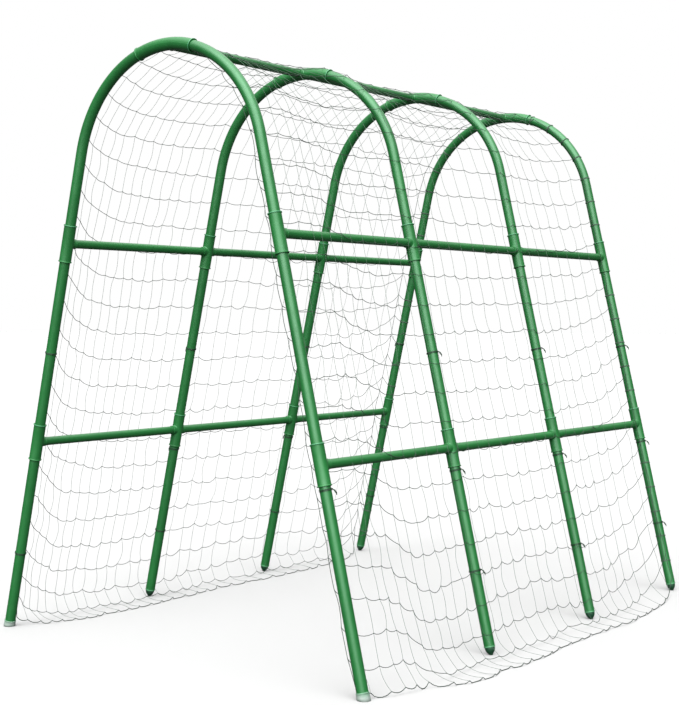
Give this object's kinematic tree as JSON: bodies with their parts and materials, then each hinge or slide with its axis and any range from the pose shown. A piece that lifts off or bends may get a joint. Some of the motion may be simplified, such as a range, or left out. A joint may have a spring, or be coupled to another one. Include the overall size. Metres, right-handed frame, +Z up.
{
  "type": "trellis arch",
  "caption": "Free-standing tunnel of leaning round-topped hoops, joined by ridge and side bars with push-fit connectors and covered by a square-mesh climbing net tied to the hoops.",
  "frame": {"origin": "on the ground at the middle of the arch, halfway between the two rows of feet and halfway along the tunnel", "axes": "+X across the arch from its left row of feet to its right row, +Y along the tunnel from the front hoop to the rear hoop, +Z up"},
  "size_m": [1.0962, 1.2868, 1.2163],
  "materials": {
    "hoop_coating": "satin green plastic coat on steel tube",
    "bar_coating": "satin green plastic coat on steel tube",
    "connector_plastic": "moulded green plastic, semi-gloss",
    "tip_plastic": "dark green moulded plastic",
    "cap_plastic": "pale grey soft plastic",
    "net_cord": "dark grey twisted plastic twine",
    "tie_plastic": "dark green plastic coat on wire"
  },
  "bodies": {
    "root": {"front_left_lower_leg": "hoop_coating", "front_left_middle_leg": "hoop_coating", "front_left_top_bend": "hoop_coating", "front_right_lower_leg": "hoop_coating", "front_right_middle_leg": "hoop_coating", "front_right_top_bend": "hoop_coating", "second_left_lower_leg": "hoop_coating", "second_left_middle_leg": "hoop_coating", "second_left_top_bend": "hoop_coating", "second_right_lower_leg": "hoop_coating", "second_right_middle_leg": "hoop_coating", "second_right_top_bend": "hoop_coating", "third_left_lower_leg": "hoop_coating", "third_left_middle_leg": "hoop_coating", "third_left_top_bend": "hoop_coating", "third_right_lower_leg": "hoop_coating", "third_right_middle_leg": "hoop_coating", "third_right_top_bend": "hoop_coating", "rear_left_lower_leg": "hoop_coating", "rear_left_middle_leg": "hoop_coating", "rear_left_top_bend": "hoop_coating", "rear_right_lower_leg": "hoop_coating", "rear_right_middle_leg": "hoop_coating", "rear_right_top_bend": "hoop_coating", "front_ridge_bar": "bar_coating", "front_lower_left_bar": "bar_coating", "front_lower_right_bar": "bar_coating", "front_upper_left_bar": "bar_coating", "front_upper_right_bar": "bar_coating", "middle_ridge_bar": "bar_coating", "middle_lower_left_bar": "bar_coating", "middle_lower_right_bar": "bar_coating", "middle_upper_left_bar": "bar_coating", "middle_upper_right_bar": "bar_coating", "rear_ridge_bar": "bar_coating", "rear_lower_left_bar": "bar_coating", "rear_lower_right_bar": "bar_coating", "rear_upper_left_bar": "bar_coating", "rear_upper_right_bar": "bar_coating", "front_apex_connector": "connector_plastic", "front_lower_connectors": "connector_plastic", "front_upper_connectors": "connector_plastic", "second_apex_connector": "connector_plastic", "second_lower_connectors": "connector_plastic", "second_upper_connectors": "connector_plastic", "third_apex_connector": "connector_plastic", "third_lower_connectors": "connector_plastic", "third_upper_connectors": "connector_plastic", "rear_apex_connector": "connector_plastic", "rear_lower_connectors": "connector_plastic", "rear_upper_connectors": "connector_plastic", "front_foot_caps": "cap_plastic", "pointed_foot_tips": "tip_plastic", "net_lengthwise_cords": "net_cord", "net_girth_cords": "net_cord", "net_ties": "tie_plastic"}
  },
  "joints": []
}
